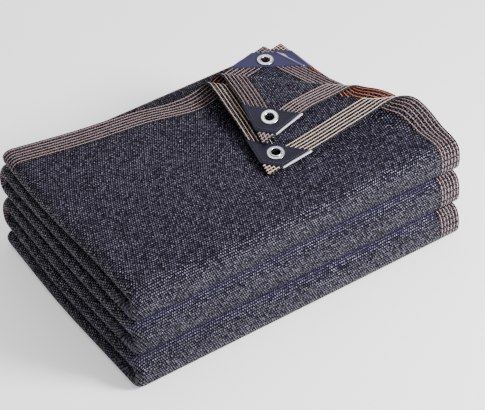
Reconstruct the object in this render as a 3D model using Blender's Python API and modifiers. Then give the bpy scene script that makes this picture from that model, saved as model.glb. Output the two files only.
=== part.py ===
"""A folded shade cloth with four eyeleted corner patches, in metres, +Z up.

The cloth is one sheet. It was folded in half twice, which gives four plies with their four corners
together, and then back and forth into six passes. Front bends join passes one and two, three and four,
five and six, so the bundle shows three thick tiers. At the back right of the top pass the two upper
corners are peeled over towards the front left, and the two lower ones lie as they were folded.

Run it with: blender --background --python part.py
"""

import math

import bmesh
import bpy
import numpy as np
from mathutils import Matrix, Vector, geometry

# The cloth and its folded stack.
SHEET = 0.0024           # thickness of one ply
PASSES = 6
PITCH = 0.0285           # height from one pass to the next
OUTER_PLY = 0.0105       # plies one and four, from the middle of a pass
INNER_PLY = 0.0035       # plies two and three
WIDTH = 0.521            # of the bundle, left fold to right edges
DEPTH = 0.349            # front bends to back bends
TURN_REACH = 0.0112      # how far the middle of a pass bulges in a front or back bend
TURN_NEST = 0.55         # how much further each millimetre of ply offset bulges
FRONT_SWELL = 0.0019     # how far a tier's outer plies swell towards the next tier at the front
FOOT_SPREAD = 0.005      # how much further the lowest ply reaches to each side than the top one
FOOT_REACH = 0.008       # how much further it reaches to the front
BORDER = 0.033           # width of the striped border, knitted in one with the cloth
BUNDLE_MIDDLE = (0.2572, 0.17085)

# Corner patches and eyelets.
PATCH_LEG = 0.070        # along each cloth edge, from the corner to the patch's long side
PATCH_TIP = 0.022        # the bare cloth tip, along each edge
PATCH_WALL = 0.0008
FIT = 0.0003             # clearance between pieces that touch
EDGE_FIT = 0.0012        # clearance from a cloth edge to the patch folded round it
EYELET_SETBACK = 0.0245  # of the eyelet's centre from both cloth edges
EYELET_BORE = 0.00635    # radius
EYELET_WALL = 0.0006
FLANGE = 0.012           # radius
FLANGE_THICK = 0.0010
LIP = 0.0084             # radius of the rolled lip over the washer
LIP_THICK = 0.0013
WASHER_THICK = 0.0007
ROUND_STEPS = 24

BACK_STRAIGHT = DEPTH - SHEET / 2 - TURN_REACH - TURN_NEST * OUTER_PLY
FRONT_STRAIGHT = SHEET / 2 + TURN_REACH + TURN_NEST * OUTER_PLY

# Where each ply's back edge lies, as (distance from the left, y), in the top pass.
BACK_EDGES = {
    1: [(0.0, 0.333), (0.11, 0.314), (0.20, 0.303), (0.30, 0.283), (0.40, 0.294), (WIDTH, 0.317)],
    2: [(0.0, 0.328), (0.11, 0.312), (0.20, 0.301), (0.30, 0.283), (0.40, 0.296), (WIDTH, 0.322)],
    3: [(0.0, 0.328), (0.11, 0.310), (0.30, 0.300), (0.42, 0.314), (WIDTH, 0.331)],
    4: [(0.0, 0.330), (0.11, 0.312), (0.30, 0.305), (0.42, 0.318), (WIDTH, 0.333)],
}
# Where each ply's right edge lies, as (distance from the front, x), in the top pass.
RIGHT_EDGES = {
    1: [(0.0, 0.515), (0.05, 0.511), (0.075, 0.505), (0.10, 0.494), (0.13, 0.486), (0.25, 0.489), (0.331, 0.491)],
    2: [(0.0, 0.515), (0.04, 0.512), (0.075, 0.503), (0.10, 0.491), (0.13, 0.476), (0.16, 0.464), (0.22, 0.464),
        (0.331, 0.474)],
    3: [(0.0, 0.515), (0.10, 0.508), (0.20, 0.470), (0.27, 0.448), (0.331, 0.431)],
    4: [(0.0, 0.515), (0.10, 0.509), (0.20, 0.476), (0.27, 0.466), (0.331, 0.462)],
}
LOWER_RIGHT_EDGE = [(0.0, 0.515), (0.10, 0.502), (0.25, 0.462), (DEPTH, 0.440)]
LEFT_FOLD = [(0.0, 0.0), (0.15, 0.0), (DEPTH, 0.010)]

# A peel bends a ply about straight lines at this angle to +X. It starts at a distance from the
# bundle's front left corner, and each row is (length of cloth, degrees that it turns upwards).
PEEL_ANGLE = math.radians(135.5)
PEELS = {
    1: (0.364, [(0.030, 38), (0.009, 0), (0.0186, 152), (0.075, 0), (0.015, -4), (0.2, 0)]),
    2: (0.371, [(0.034, 40), (0.018, 0), (0.0229, 140), (0.042, 0), (0.016, 14), (0.2, 0)]),
    3: (0.410, [(0.030, 6), (0.030, -6), (0.2, 0)]),
    4: (0.410, [(0.094, 0), (0.2, 0)]),
}
TURNED_OVER = (1, 2)
# Rises of a peel's crest, as (x, y, height, spread) before it is peeled.
CRESTS = {1: (0.496, 0.082, 0.014, 0.024), 2: (0.483, 0.112, 0.016, 0.030)}
CORNERS = {
    "front_flap": 1,
    "rear_flap": 2,
    "upper_corner": 3,
    "lower_corner": 4,
}


def smooth(t):
    """An S curve from 0 to 1."""
    t = np.clip(t, 0.0, 1.0)
    return t * t * (3.0 - 2.0 * t)


def through(rows, at):
    """A smooth curve through the rows, read at the given places (monotone cubic pieces)."""
    x = np.array([row[0] for row in rows])
    y = np.array([row[1] for row in rows])
    steps = np.diff(x)
    slopes = np.diff(y) / steps
    tangents = np.empty(len(x))
    tangents[0] = slopes[0]
    tangents[-1] = slopes[-1]
    for i in range(1, len(x) - 1):
        same_way = slopes[i - 1] * slopes[i] > 0
        both = slopes[i - 1] + slopes[i]
        tangents[i] = 2 * slopes[i - 1] * slopes[i] / both if same_way else 0.0
    at = np.clip(at, x[0], x[-1])
    i = np.clip(np.searchsorted(x, at, side="right") - 1, 0, len(steps) - 1)
    t = (at - x[i]) / steps[i]
    rise = t * t * (3 - 2 * t)
    return (y[i] * (1 - rise) + y[i + 1] * rise
            + steps[i] * (tangents[i] * t * (1 - t) ** 2 - tangents[i + 1] * t * t * (1 - t)))


def left_reach(offset):
    """How far a left fold bulges, for a ply this far from the middle of its pass."""
    return 0.0065 + 0.93 * (offset - INNER_PLY)


def left_arc(offset):
    """Length of half a left fold's bend."""
    return math.pi / 4 * (offset + left_reach(offset))


def across(w, offset):
    """A place w along the cloth from the left fold, as x and the signed offset from the pass's middle."""
    arc = left_arc(offset)
    centre = SHEET / 2 + left_reach(OUTER_PLY)
    turn = np.clip(w / arc, -1, 1) * math.pi / 2
    x = centre - left_reach(offset) * np.cos(turn) + np.maximum(np.abs(w) - arc, 0)
    return x, offset * np.sin(turn)


def half_width(offset):
    """Cloth from the left fold to a right edge."""
    return WIDTH - SHEET / 2 - left_reach(OUTER_PLY) + left_arc(offset)


def squared(v, power):
    """A sine or cosine made a little squarer."""
    return np.sign(v) * np.abs(v) ** power


def swell(outward, y):
    """How far a ply on a tier's outside is pushed towards the next tier, near the front bends."""
    return FRONT_SWELL * np.maximum(outward, 0) / OUTER_PLY * (1 - smooth((y - FRONT_STRAIGHT) / 0.09))


def along(station, n):
    """Height and depth in the stack: even stations to odd ones are passes, odd to even are bends."""
    segment = np.clip(np.floor(station), 0, 2 * PASSES - 2)
    t = station - segment
    number = np.floor(segment / 2)
    to_front = number % 2 == 0
    outward = np.where(to_front, n, -n)
    middle = SHEET / 2 + OUTER_PLY + (PASSES - 1 - number) * PITCH
    start = np.where(to_front, BACK_STRAIGHT, FRONT_STRAIGHT)
    finish = np.where(to_front, FRONT_STRAIGHT, BACK_STRAIGHT)
    power = 0.9 - 0.1 * outward / OUTER_PLY
    bulge = (TURN_REACH + TURN_NEST * outward) * squared(np.sin(t * math.pi), power)
    bend_y = finish + np.where(to_front, -bulge, bulge)
    upper_half = t < 0.5
    meets_tier = np.where(upper_half, number > 0, number < PASSES - 2) & to_front
    half_height = PITCH / 2 + outward + np.where(meets_tier, swell(outward, FRONT_STRAIGHT), 0)
    bend_z = middle - PITCH / 2 + half_height * squared(np.cos(t * math.pi), power)
    pass_y = start + (finish - start) * t
    is_inner = (number > 0) & (number < PASSES - 1)
    front_side = n + np.where(is_inner, swell(n, pass_y), 0)
    pass_z = middle + np.where(to_front, front_side, -front_side)
    is_bend = segment % 2 == 1
    return np.where(is_bend, bend_y, pass_y), np.where(is_bend, bend_z, pass_z)


def spread_edges(x, y, ply, in_top):
    """Draws the plies' edges to where they lie."""
    share = np.clip(x, 0, WIDTH) / WIDTH
    right = np.where(in_top, through(RIGHT_EDGES[ply], y), through(LOWER_RIGHT_EDGE, y))
    back = through(BACK_EDGES[ply], x) - BACK_STRAIGHT
    moved_x = x + (right - WIDTH) * share + through(LEFT_FOLD, y) * (1 - share)
    moved_y = y + np.where(in_top, back * smooth((y - 0.05) / (BACK_STRAIGHT - 0.05)), 0)
    return moved_x, moved_y


PEEL_ACROSS = np.array([math.sin(PEEL_ANGLE), -math.cos(PEEL_ANGLE)])
PEEL_ALONG = np.array([math.cos(PEEL_ANGLE), math.sin(PEEL_ANGLE)])


def peel_profile(ply):
    """The peel's side view: cloth lengths, with how far across and how high each lies."""
    rows = PEELS[ply][1]
    lengths = np.concatenate([[0.0], np.cumsum([row[0] for row in rows])])
    turns = np.radians(np.concatenate([[0.0], np.cumsum([row[1] for row in rows])]))
    s = np.linspace(0, lengths[-1], 2000)
    heading = np.interp(s, lengths, turns)
    step = s[1]
    reach = np.concatenate([[0.0], np.cumsum(np.cos(heading))[:-1] * step])
    rise = np.concatenate([[0.0], np.cumsum(np.sin(heading))[:-1] * step])
    return s, reach, rise


def peel(x, y, z, ply):
    """Bends the part of a ply beyond its peel's start up and over."""
    start = PEELS[ply][0]
    s, reach, rise = peel_profile(ply)
    q = x * PEEL_ACROSS[0] + y * PEEL_ACROSS[1]
    v = x * PEEL_ALONG[0] + y * PEEL_ALONG[1]
    beyond = np.maximum(q - start, 0)
    if ply in CRESTS:
        cx, cy, height, spread = CRESTS[ply]
        z = z + height * np.exp(-((x - cx) ** 2 + (y - cy) ** 2) / (2 * spread ** 2)) * smooth(beyond / 0.03)
    q = np.where(q > start, start + np.interp(beyond, s, reach), q)
    z = z + np.interp(beyond, s, rise)
    return q * PEEL_ACROSS[0] + v * PEEL_ALONG[0], q * PEEL_ACROSS[1] + v * PEEL_ALONG[1], z


def settle(x, y, z):
    """The gentle unevenness of a bundle folded by hand, and the spread of its foot under the weight above."""
    q = x * PEEL_ACROSS[0] + y * PEEL_ACROSS[1]
    height = np.maximum(z - SHEET, 0) / (PASSES * PITCH) * (1 - smooth((q - 0.30) / 0.06))
    x = x + 0.0022 * height * (1 - x / WIDTH) * np.sin(19 * y + 33 * z + 0.6)
    y = y + 0.0020 * height * (1 - y / DEPTH) * np.sin(13 * x - 41 * z + 1.9)
    z = z + 0.0014 * height * np.sin(14 * x + 0.4) * np.sin(17 * y + 1.0)
    low = 1 - np.clip(z / (PASSES * PITCH), 0, 1)
    x = x + FOOT_SPREAD * low * (2 * x / WIDTH - 1)
    y = y - FOOT_REACH * low * (1 - y / DEPTH)
    return x, y, z


def place(station, w):
    """Puts a point of the flat cloth where it lies in the bundle.

    station runs 0 to 11 along the outer plies, 11 to 12 round the far fold, and 12 to 23 back
    along the inner ones. w is the distance from the left fold, positive on plies one and two.
    """
    station = np.asarray(station, float)
    w = np.asarray(w, float)
    ends = 2 * PASSES - 1
    far = np.clip(station - ends, 0, 1)
    middle_offset = (OUTER_PLY + INNER_PLY) / 2
    offset = middle_offset + (OUTER_PLY - INNER_PLY) / 2 * np.cos(far * math.pi)
    path = np.where(station <= ends, station, np.where(station >= ends + 1, 2 * ends + 1 - station, ends))
    x, n = across(w, offset)
    y, z = along(path, n)
    y = y + 0.006 * np.sin(far * math.pi)
    in_top = path <= 1
    points = np.stack([x, y, z], -1)
    for ply in (1, 2, 3, 4):
        mine = (w > 0) == (ply in (1, 2))
        mine = mine & ((station < ends + 0.5) == (ply in (1, 4)))
        px, py, pz = settle(*spread_edges(x, y, ply, in_top), z)
        bent = peel(px, py, pz, ply)
        lying = np.stack([np.where(in_top, b, p) for b, p in zip(bent, (px, py, pz))], -1)
        points = np.where(mine[..., None], lying, points)
    return points


def station_of(ply, back):
    """The station of a point this far from the top pass's back edge."""
    share = back / (BACK_STRAIGHT - FRONT_STRAIGHT)
    return share if ply in (1, 4) else 4 * PASSES - 1 - share


def on_ply(ply, right, back):
    """A point of the top pass, by its distances from the ply's right and back edges."""
    offset = OUTER_PLY if ply in (1, 4) else INNER_PLY
    w = half_width(offset) - np.asarray(right, float)
    if ply in (3, 4):
        w = -w
    return place(station_of(ply, np.asarray(back, float)), w)


def base_rows():
    """Stations of the plain grid, close together in the bends."""
    rows = []
    for number in range(PASSES):
        inner = (0.1, 0.24, 0.5, 0.78) if number == 0 else (0.35, 0.7)
        rows += [2 * number] + [2 * number + t for t in inner]
        if number < PASSES - 1:
            rows += [2 * number + 1 + t / 7 for t in range(7)]
    outer = rows + [2 * PASSES - 1]
    last = 4 * PASSES - 1
    return outer + [2 * PASSES - 1 + t for t in (0.25, 0.5, 0.75)] + [last - row for row in reversed(outer)]


def base_columns():
    """Places across the cloth, close together round the left fold and along the borders."""
    reach = half_width(OUTER_PLY)
    bend = left_arc(OUTER_PLY)
    side = [bend * t for t in (0.22, 0.45, 0.72, 1.0)] + [0.15, 0.31, reach - 0.08, reach - BORDER, reach]
    return [-w for w in reversed(side)] + [0.0] + side


def flat_width(station):
    """The inner plies are a little narrower, so a column there is drawn in by this factor."""
    inner = smooth(np.clip(np.asarray(station, float) - (2 * PASSES - 1), 0, 1))
    return 1 + (half_width(INNER_PLY) / half_width(OUTER_PLY) - 1) * inner


def unspread(x, y, ply):
    """The place before spread_edges of a point of the top pass."""
    sx, sy = np.array(x, float), np.array(y, float)
    for _ in range(12):
        mx, my = spread_edges(sx, sy, ply, np.full(sx.shape, True))
        sx = sx + x - mx
        sy = sy + y - my
    return sx, sy


def peel_rows(ply):
    """How far beyond the start of a peel its rows of points lie: one every 30 degrees or so."""
    rows = PEELS[ply][1]
    steps = [0.0]
    for length, turn in rows[:-1]:
        parts = max(1, math.ceil(abs(turn) / 27))
        steps += [steps[-1] + length / parts * (k + 1) for k in range(parts)]
    return steps + [steps[-1] + 0.022]


def ruling_points(ply):
    """Rows of points along a peel's bending lines, as (station, w) on the flat cloth."""
    start = PEELS[ply][0]
    offset = OUTER_PLY if ply in (1, 4) else INNER_PLY
    found = []
    for step in peel_rows(ply):
        v = np.linspace(-0.50, 0.30, 1601)
        q = start + step
        x, y = unspread(q * PEEL_ACROSS[0] + v * PEEL_ALONG[0], q * PEEL_ACROSS[1] + v * PEEL_ALONG[1], ply)
        inside = (x < WIDTH) & (y < BACK_STRAIGHT)
        if inside.sum() < 2:
            continue
        first, last = v[inside][0], v[inside][-1]
        count = max(2, int(round((last - first) / 0.036)) + 1)
        v = np.linspace(first, last, count)
        x, y = unspread(q * PEEL_ACROSS[0] + v * PEEL_ALONG[0], q * PEEL_ACROSS[1] + v * PEEL_ALONG[1], ply)
        x[0] = WIDTH
        y[-1] = BACK_STRAIGHT
        station = station_of(ply, BACK_STRAIGHT - y)
        w = x - SHEET / 2 - left_reach(OUTER_PLY) + left_arc(offset)
        side = 1 if ply in (1, 2) else -1
        found.append(list(zip(station, side * w / flat_width(station))))
    return found


def peel_start(ply, station, w):
    """How far a flat point lies beyond the start of its ply's peel."""
    offset = OUTER_PLY if ply in (1, 4) else INNER_PLY
    share = station if ply in (1, 4) else 4 * PASSES - 1 - station
    x = abs(w) + SHEET / 2 + left_reach(OUTER_PLY) - left_arc(offset)
    y = BACK_STRAIGHT - share * (BACK_STRAIGHT - FRONT_STRAIGHT)
    x, y = spread_edges(np.array([x]), np.array([y]), ply, np.array([True]))
    return float(x[0] * PEEL_ACROSS[0] + y[0] * PEEL_ACROSS[1] - PEELS[ply][0])


def cloth_points():
    """The flat cloth's points, with the edges that its triangles keep.

    They are a plain grid, and a peel's rows where a ply is peeled.
    """
    reach = half_width(OUTER_PLY)
    last = 4 * PASSES - 1
    points = []
    for station in base_rows():
        for w in base_columns():
            upper = w > 0
            ply = (1 if upper else 4) if station <= 1 else (2 if upper else 3) if station >= last - 1 else 0
            beyond = peel_start(ply, station, w * float(flat_width(station))) if ply and w else -1
            is_corner = abs(w) == reach and station in (0, last)
            if beyond < -0.008 or is_corner:
                points.append((station, w))
    edges = []
    for ply in PEELS:
        for row in ruling_points(ply):
            edges += [(len(points) + k, len(points) + k + 1) for k in range(len(row) - 1)]
            points += row
    return np.array(points), edges


def cloth_surface():
    """The open middle surface of the folded cloth, triangulated flat and then folded."""
    flat, edges = cloth_points()
    # Stations are stretched to about real lengths for a well shaped triangulation.
    length = BACK_STRAIGHT - FRONT_STRAIGHT
    layout = [Vector((1000 * station * length, 1000 * w)) for station, w in flat]
    verts, _, faces, source, _, _ = geometry.delaunay_2d_cdt(layout, edges, [], 0, 1e-3)
    flat = np.array([flat[ids[0]] for ids in source])
    width = flat[:, 1] * flat_width(flat[:, 0])
    points = place(flat[:, 0], width)
    mesh = bpy.data.meshes.new("folded_cloth")
    mesh.from_pydata([tuple(p) for p in points], [], [tuple(face) for face in faces])
    mesh.validate()
    return mesh


def material(name, colour, roughness, metallic=0.0):
    """A plain Principled material."""
    mat = bpy.data.materials.new(name)
    mat.use_nodes = True
    shader = mat.node_tree.nodes["Principled BSDF"]
    shader.inputs["Base Color"].default_value = (*colour, 1.0)
    shader.inputs["Roughness"].default_value = roughness
    shader.inputs["Metallic"].default_value = metallic
    return mat


def add_object(name, mesh, mat, collection, frame):
    """A named object of the part, under the bundle's frame."""
    obj = bpy.data.objects.new(name, mesh)
    if mat:
        mesh.materials.append(mat)
    collection.objects.link(obj)
    obj.parent = frame
    return obj


def make_cutter(name, mesh, collection, frame):
    """A shape that only cuts others."""
    obj = add_object(name, mesh, None, collection, frame)
    obj.hide_render = True
    obj.display_type = "WIRE"
    return obj


def cut(obj, cutter, name):
    """Takes the cutter's shape out of the object."""
    modifier = obj.modifiers.new(name, "BOOLEAN")
    modifier.operation = "DIFFERENCE"
    modifier.solver = "EXACT"
    modifier.object = cutter


class Corner:
    """The flat end of one ply at its cloth corner, which a patch and an eyelet are set on."""

    def __init__(self, ply):
        tip, on_right, on_back = on_ply(ply, np.array([0, 0, 0.04]), np.array([0, 0.04, 0]))
        self.tip = Vector(tip)
        self.right = (Vector(on_right) - self.tip).normalized()
        self.back = (Vector(on_back) - self.tip).normalized()
        self.up = self.back.cross(self.right).normalized()
        if self.up.z < 0:
            self.up.negate()
        # The face side of the cloth is up on plies one and three before a peel turns them.
        face_is_up = (ply in (1, 3)) != (ply in TURNED_OVER)
        self.face = self.up if face_is_up else -self.up

    def at(self, along_right, along_back, above=0.0):
        """A point by its distances from the tip along both edges."""
        return self.tip + self.right * along_right + self.back * along_back + self.up * above

    def eyelet_frame(self):
        """A matrix at the eyelet's centre, with Z out of the cloth's face side."""
        angle = math.sin(self.right.angle(self.back))
        centre = self.at(EYELET_SETBACK / angle, EYELET_SETBACK / angle)
        x = self.right
        z = self.face
        y = z.cross(x).normalized()
        x = y.cross(z).normalized()
        turn = Matrix((x, y, z)).transposed().to_4x4()
        return Matrix.Translation(centre) @ turn


def prism(name, outline, half, corner):
    """A closed prism over a four sided outline given along both edges, half as thick each way."""
    bm = bmesh.new()
    low = [bm.verts.new(corner.at(a, b, -half)) for a, b in outline]
    high = [bm.verts.new(corner.at(a, b, half)) for a, b in outline]
    bm.faces.new(low)
    bm.faces.new(high)
    for i in range(len(outline)):
        j = (i + 1) % len(outline)
        bm.faces.new((low[i], low[j], high[j], high[i]))
    bmesh.ops.recalc_face_normals(bm, faces=bm.faces)
    mesh = bpy.data.meshes.new(name)
    bm.to_mesh(mesh)
    bm.free()
    return mesh


def trapezoid(corner, margin, near, far):
    """The patch's outline: margin outside both cloth edges, cut off near and far from the tip."""
    out = margin / math.sin(corner.right.angle(corner.back))
    return [(near + out, -out), (far + out, -out), (-out, far + out), (-out, near + out)]


def bore_cutter(name, corner, collection, frame):
    """The hole for an eyelet's barrel, through cloth and patch."""
    bm = bmesh.new()
    bmesh.ops.create_cone(bm, cap_ends=True, segments=ROUND_STEPS, depth=0.016,
                          radius1=EYELET_BORE + EYELET_WALL + FIT, radius2=EYELET_BORE + EYELET_WALL + FIT)
    mesh = bpy.data.meshes.new(name)
    bm.to_mesh(mesh)
    bm.free()
    obj = make_cutter(name, mesh, collection, frame)
    obj.matrix_local = corner.eyelet_frame()
    return obj


def make_patch(name, corner, mat, parts, cutters, frame, bore):
    """A vinyl strip laid across the corner and folded round both cloth edges: a flat sleeve."""
    hollow_half = SHEET / 2 + FIT
    half = hollow_half + PATCH_WALL
    outer = prism(name, trapezoid(corner, EDGE_FIT + PATCH_WALL, PATCH_TIP, PATCH_LEG), half, corner)
    inner_outline = trapezoid(corner, EDGE_FIT, PATCH_TIP - 0.015, PATCH_LEG + 0.015)
    inner = prism(name + "_hollow", inner_outline, hollow_half, corner)
    patch = add_object(name, outer, mat, parts, frame)
    cut(patch, make_cutter(name + "_hollow", inner, cutters, frame), "sleeve")
    cut(patch, bore, "eyelet hole")
    return patch


def turned(name, profile, mat, parts, corner, frame):
    """A ring turned about the eyelet's axis from a profile of (radius, height) points."""
    mesh = bpy.data.meshes.new(name)
    verts = [(r, 0.0, h) for r, h in profile]
    count = len(verts)
    mesh.from_pydata(verts, [(i, (i + 1) % count) for i in range(count)], [])
    ring = add_object(name, mesh, mat, parts, frame)
    ring.matrix_local = corner.eyelet_frame()
    screw = ring.modifiers.new("turning", "SCREW")
    screw.angle = math.tau
    screw.steps = ROUND_STEPS
    screw.render_steps = ROUND_STEPS
    screw.use_merge_vertices = True
    screw.merge_threshold = 0.00001
    screw.use_smooth_shade = True
    screw.use_normal_calculate = False
    return ring


def make_eyelet(name, corner, mat, parts, frame):
    """Barrel and flange in one, with its end rolled over the washer."""
    seat = SHEET / 2 + FIT + PATCH_WALL + FIT
    barrel = EYELET_BORE + EYELET_WALL
    under = -seat - WASHER_THICK - FIT
    profile = [
        (FLANGE, seat + FLANGE_THICK * 0.5),
        (FLANGE - 0.0008, seat),
        (barrel, seat),
        (barrel, under),
        (LIP, under),
        (LIP, under - LIP_THICK * 0.5),
        (LIP - 0.0007, under - LIP_THICK),
        (EYELET_BORE + 0.0007, under - LIP_THICK),
        (EYELET_BORE, under - LIP_THICK * 0.4),
        (EYELET_BORE, seat + FLANGE_THICK * 0.6),
        (EYELET_BORE + 0.0007, seat + FLANGE_THICK),
        (FLANGE - 0.0012, seat + FLANGE_THICK),
    ]
    return turned(name, profile, mat, parts, corner, frame)


def make_washer(name, corner, mat, parts, frame):
    """The loose ring that the eyelet's lip clamps on the cloth's reverse."""
    seat = SHEET / 2 + FIT + PATCH_WALL + FIT
    hole = EYELET_BORE + EYELET_WALL + FIT
    profile = [
        (FLANGE, -seat - WASHER_THICK * 0.4),
        (FLANGE - 0.0007, -seat - WASHER_THICK),
        (hole, -seat - WASHER_THICK),
        (hole, -seat),
        (FLANGE, -seat),
    ]
    return turned(name, profile, mat, parts, corner, frame)


def make_cloth(mat, parts, frame, bores):
    """The folded sheet with its thickness and its four eyelet holes."""
    cloth = add_object("folded_cloth", cloth_surface(), mat, parts, frame)
    thick = cloth.modifiers.new("thickness", "SOLIDIFY")
    thick.thickness = SHEET
    thick.offset = 0.0
    thick.use_even_offset = True
    thick.use_quality_normals = True
    for bore in bores:
        cut(cloth, bore, "eyelet hole")
    return cloth


def main():
    """Builds the bundle."""
    for obj in list(bpy.data.objects):
        bpy.data.objects.remove(obj, do_unlink=True)
    parts = bpy.data.collections.new("folded_shade_cloth")
    cutters = bpy.data.collections.new("cutters")
    for collection in (parts, cutters):
        bpy.context.scene.collection.children.link(collection)
    frame = bpy.data.objects.new("bundle_frame", None)
    parts.objects.link(frame)
    frame.location = (-BUNDLE_MIDDLE[0], -BUNDLE_MIDDLE[1], 0.0)

    knit = material("black_knitted_shade_net", (0.018, 0.017, 0.026), 0.55)
    bores = []
    for label, ply in CORNERS.items():
        corner = Corner(ply)
        vinyl = material("navy_vinyl_" + label, (0.021, 0.021, 0.036), 0.6)
        metal = material("nickel_plated_aluminium_" + label, (0.72, 0.73, 0.76), 0.28, 1.0)
        steel = material("nickel_plated_washer_" + label, (0.70, 0.71, 0.74), 0.32, 1.0)
        bore = bore_cutter("bore_" + label, corner, cutters, frame)
        make_patch("patch_" + label, corner, vinyl, parts, cutters, frame, bore)
        make_eyelet("eyelet_" + label, corner, metal, parts, frame)
        make_washer("washer_" + label, corner, steel, parts, frame)
        bores.append(bore)
    make_cloth(knit, parts, frame, bores)


main()
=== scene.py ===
"""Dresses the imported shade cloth: knit, striped borders, corner patches, eyelets and sewing.

Units are metres and +Z is up. The origin is on the floor under the middle of the bundle. The cloth is
one sheet, in flat coordinates (station, w): station runs 0 to 11 along the outer plies from the top
pass down, 11 to 12 round the far fold, and back up to 23 along the inner plies; w is the distance
from the left fold, positive on plies one and two.
"""
import logging
import math
from dataclasses import dataclass
from enum import Enum
from typing import Sequence

import bpy
import numpy as np
from mathutils import Matrix, Vector


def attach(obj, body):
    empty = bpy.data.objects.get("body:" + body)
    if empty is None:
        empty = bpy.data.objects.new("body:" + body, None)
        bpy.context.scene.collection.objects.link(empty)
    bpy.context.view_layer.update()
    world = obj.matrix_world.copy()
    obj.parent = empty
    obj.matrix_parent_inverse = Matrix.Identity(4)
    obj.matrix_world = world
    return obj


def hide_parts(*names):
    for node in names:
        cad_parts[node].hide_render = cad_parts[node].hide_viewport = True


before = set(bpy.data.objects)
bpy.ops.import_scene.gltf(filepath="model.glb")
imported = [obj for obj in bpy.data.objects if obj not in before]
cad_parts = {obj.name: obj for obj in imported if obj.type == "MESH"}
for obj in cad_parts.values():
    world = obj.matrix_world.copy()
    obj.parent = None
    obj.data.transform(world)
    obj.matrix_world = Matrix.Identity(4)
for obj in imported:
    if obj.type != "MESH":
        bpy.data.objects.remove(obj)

log = logging.getLogger("shade_cloth")

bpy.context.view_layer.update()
MM = 0.001
Array = np.ndarray
Triple = tuple[Array, Array, Array]


class Side(Enum):
    """The two sides of the knit: dashes of stripe yarn show on the face, whole floats on the reverse."""

    FACE = 1
    REVERSE = -1


@dataclass(frozen=True)
class Finish:
    """A plain surface colour with its gloss.

    Attributes:
        colour: sRGB hex colour.
        roughness: Principled roughness.
        metallic: Principled metallic value.
    """

    colour: str
    roughness: float = 0.6
    metallic: float = 0.0


@dataclass(frozen=True)
class FoldSizes:
    """Driving sizes of the folded stack, the same as the solid's."""

    sheet: float = 2.4 * MM
    passes: int = 6
    pitch: float = 28.5 * MM
    outer: float = 10.5 * MM
    inner: float = 3.5 * MM
    width: float = 521 * MM
    depth: float = 349 * MM
    turn_reach: float = 11.2 * MM
    turn_nest: float = 0.55
    front_swell: float = 1.9 * MM
    foot_spread: float = 5 * MM
    foot_reach: float = 8 * MM
    middle: tuple[float, float] = (0.2572, 0.17085)


@dataclass(frozen=True)
class BorderSizes:
    """The striped border that is knitted along every edge."""

    width: float = 33 * MM
    lines: int = 6
    first: float = 3.0 * MM
    pitch: float = 5.2 * MM
    dash: float = 4.2 * MM
    dash_share: float = 0.7


@dataclass(frozen=True)
class PatchSizes:
    """A corner patch and its eyelet."""

    leg: float = 70 * MM
    tip: float = 22 * MM
    wall: float = 0.8 * MM
    setback: float = 24.5 * MM
    bore: float = 6.35 * MM
    flange: float = 12 * MM
    lip: float = 8.4 * MM


WIDTH = FoldSizes.width
BACK_EDGES = {
    1: [(0.0, 0.333), (0.11, 0.314), (0.20, 0.303), (0.30, 0.283), (0.40, 0.294), (WIDTH, 0.317)],
    2: [(0.0, 0.328), (0.11, 0.312), (0.20, 0.301), (0.30, 0.283), (0.40, 0.296), (WIDTH, 0.322)],
    3: [(0.0, 0.328), (0.11, 0.310), (0.30, 0.300), (0.42, 0.314), (WIDTH, 0.331)],
    4: [(0.0, 0.330), (0.11, 0.312), (0.30, 0.305), (0.42, 0.318), (WIDTH, 0.333)],
}
RIGHT_EDGES = {
    1: [(0.0, 0.515), (0.05, 0.511), (0.075, 0.505), (0.10, 0.494), (0.13, 0.486), (0.25, 0.489),
        (0.331, 0.491)],
    2: [(0.0, 0.515), (0.04, 0.512), (0.075, 0.503), (0.10, 0.491), (0.13, 0.476), (0.16, 0.464),
        (0.22, 0.464), (0.331, 0.474)],
    3: [(0.0, 0.515), (0.10, 0.508), (0.20, 0.470), (0.27, 0.448), (0.331, 0.431)],
    4: [(0.0, 0.515), (0.10, 0.509), (0.20, 0.476), (0.27, 0.466), (0.331, 0.462)],
}
LOWER_RIGHT_EDGE = [(0.0, 0.515), (0.10, 0.502), (0.25, 0.462), (0.349, 0.440)]
LEFT_FOLD = [(0.0, 0.0), (0.15, 0.0), (0.349, 0.010)]
PEELS = {
    1: (0.364, [(0.030, 38), (0.009, 0), (0.0186, 152), (0.075, 0), (0.015, -4), (0.2, 0)]),
    2: (0.371, [(0.034, 40), (0.018, 0), (0.0229, 140), (0.042, 0), (0.016, 14), (0.2, 0)]),
    3: (0.410, [(0.030, 6), (0.030, -6), (0.2, 0)]),
    4: (0.410, [(0.094, 0), (0.2, 0)]),
}
CRESTS = {1: (0.496, 0.082, 0.014, 0.024), 2: (0.483, 0.112, 0.016, 0.030)}
CORNERS = {"front_flap": 1, "rear_flap": 2, "upper_corner": 3, "lower_corner": 4}
TURNED_OVER = (1, 2)
PEEL_ANGLE = math.radians(135.5)
ACROSS = np.array([math.sin(PEEL_ANGLE), -math.cos(PEEL_ANGLE)])
ALONG = np.array([math.cos(PEEL_ANGLE), math.sin(PEEL_ANGLE)])


def smooth(t: Array) -> Array:
    """An S curve from 0 to 1."""
    t = np.clip(t, 0.0, 1.0)
    return t * t * (3.0 - 2.0 * t)


def squared(v: Array, power: Array) -> Array:
    """A sine or cosine made a little squarer."""
    return np.sign(v) * np.abs(v) ** power


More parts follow.
